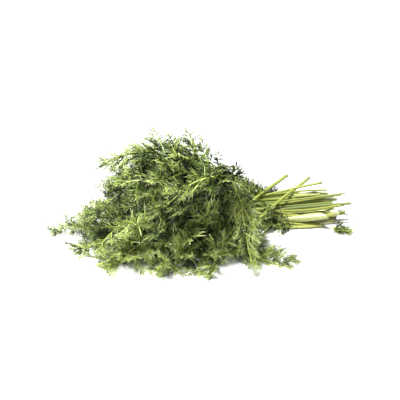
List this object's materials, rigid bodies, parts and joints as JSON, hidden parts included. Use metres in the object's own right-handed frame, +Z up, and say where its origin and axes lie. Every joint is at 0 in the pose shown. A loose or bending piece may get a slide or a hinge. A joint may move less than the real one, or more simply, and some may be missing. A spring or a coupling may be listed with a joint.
{
  "type": "bunch of fresh dill",
  "caption": "Loose bunch of fresh dill lying on a table: slim green stems with pale cut bases, feathery leaves heaped at the other end.",
  "frame": {"origin": "on the table, under the middle of the bunch's outer box", "axes": "+X towards the cut stem ends, -X towards the leaf tips, +Z up, -Y the near side"},
  "size_m": [0.2998, 0.2322, 0.0836],
  "materials": {
    "stem": "satin",
    "sheathed_stem": "satin",
    "leaf": "matte"
  },
  "bodies": {
    "root": {"stem_01": "stem", "stem_02": "stem", "stem_03": "stem", "stem_04": "stem", "stem_05": "sheathed_stem", "stem_06": "stem", "stem_07": "stem", "stem_08": "stem", "stem_09": "stem", "stem_10": "stem", "stem_11": "stem", "stem_12": "stem", "stem_13": "sheathed_stem", "stem_14": "stem", "stem_15": "stem", "stem_16": "stem", "stem_17": "stem", "stem_18": "stem", "stem_19": "stem", "stem_20": "stem", "leaf_01": "leaf", "leaf_02": "leaf", "leaf_03": "leaf", "leaf_04": "leaf", "leaf_05": "leaf", "leaf_06": "leaf", "leaf_07": "leaf", "leaf_08": "leaf", "leaf_09": "leaf", "leaf_10": "leaf", "leaf_11": "leaf", "leaf_12": "leaf", "leaf_13": "leaf", "leaf_14": "leaf", "leaf_15": "leaf", "leaf_16": "leaf", "leaf_17": "leaf", "leaf_18": "leaf", "leaf_19": "leaf", "leaf_20": "leaf", "leaf_21": "leaf", "leaf_22": "leaf", "leaf_23": "leaf", "leaf_24": "leaf", "leaf_25": "leaf", "leaf_26": "leaf", "leaf_27": "leaf", "leaf_28": "leaf", "leaf_29": "leaf", "leaf_30": "leaf", "leaf_31": "leaf", "leaf_32": "leaf", "leaf_33": "leaf", "leaf_34": "leaf", "leaf_35": "leaf", "leaf_36": "leaf", "leaf_37": "leaf", "leaf_38": "leaf", "loose_leaf_tip": "leaf"}
  },
  "joints": []
}
